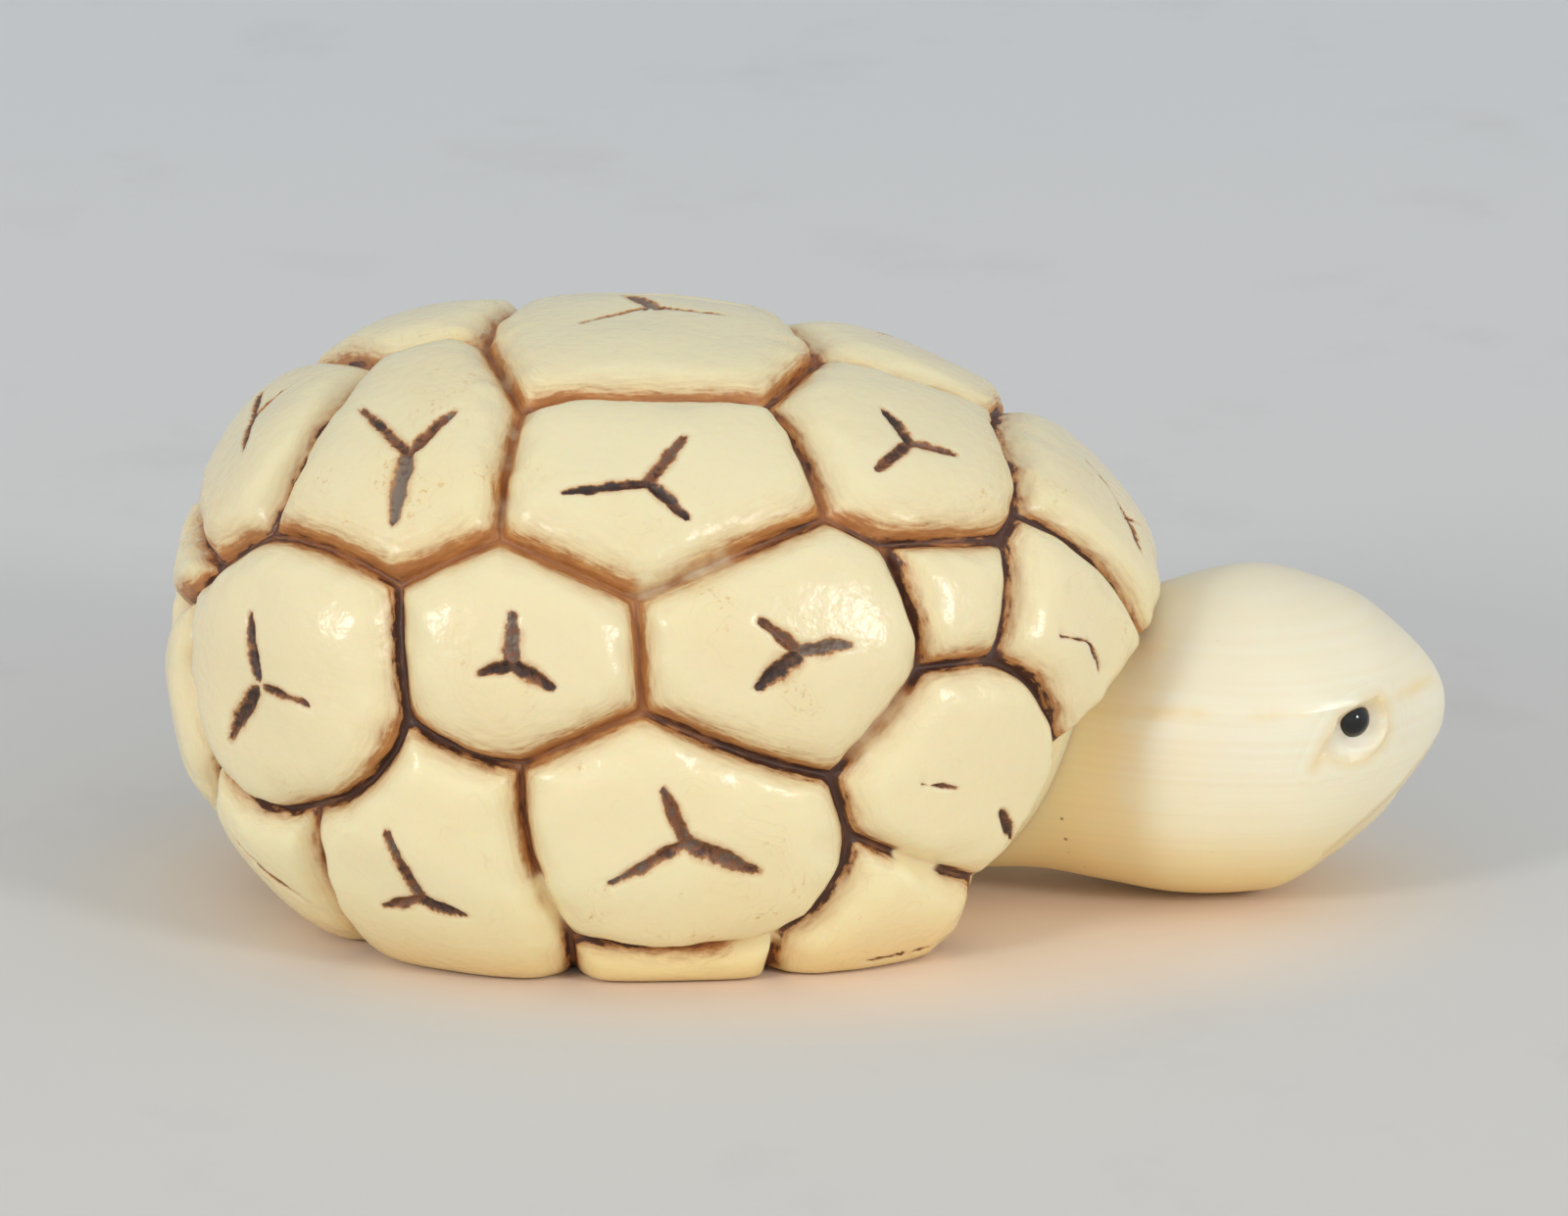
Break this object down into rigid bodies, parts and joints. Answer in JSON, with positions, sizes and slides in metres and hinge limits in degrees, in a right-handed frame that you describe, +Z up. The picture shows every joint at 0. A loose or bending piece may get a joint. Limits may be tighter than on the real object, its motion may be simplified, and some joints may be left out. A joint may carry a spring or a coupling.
{
  "type": "turtle figurine",
  "caption": "Small ivory-coloured turtle ornament: a pillowed shell with stained grooves and carved marks, a smooth outstretched head with black bead eyes, tucked feet and a tail.",
  "frame": {"origin": "middle of the flat resting face of the plastron, under the middle of the shell, in the plane of the surface it stands on", "axes": "+X towards the head, +Y towards the turtle's left side, +Z up"},
  "size_m": [0.0505, 0.0316, 0.0234],
  "materials": {
    "polished_shell": "polished ivory-like cast resin with brown-stained grooves",
    "polished_underside": "polished ivory-like cast resin with brown-stained seams",
    "satin_head": "satin ivory-like cast resin with fine layered grain",
    "satin_limb": "satin ivory-like cast resin",
    "black_bead": "polished black bead"
  },
  "bodies": {
    "root": {"carapace": "polished_shell", "plastron": "polished_underside", "head": "satin_head", "eye_left": "black_bead", "eye_right": "black_bead", "foot_front_left": "satin_limb", "foot_front_right": "satin_limb", "foot_rear_left": "satin_limb", "foot_rear_right": "satin_limb", "tail": "satin_limb"}
  },
  "joints": []
}
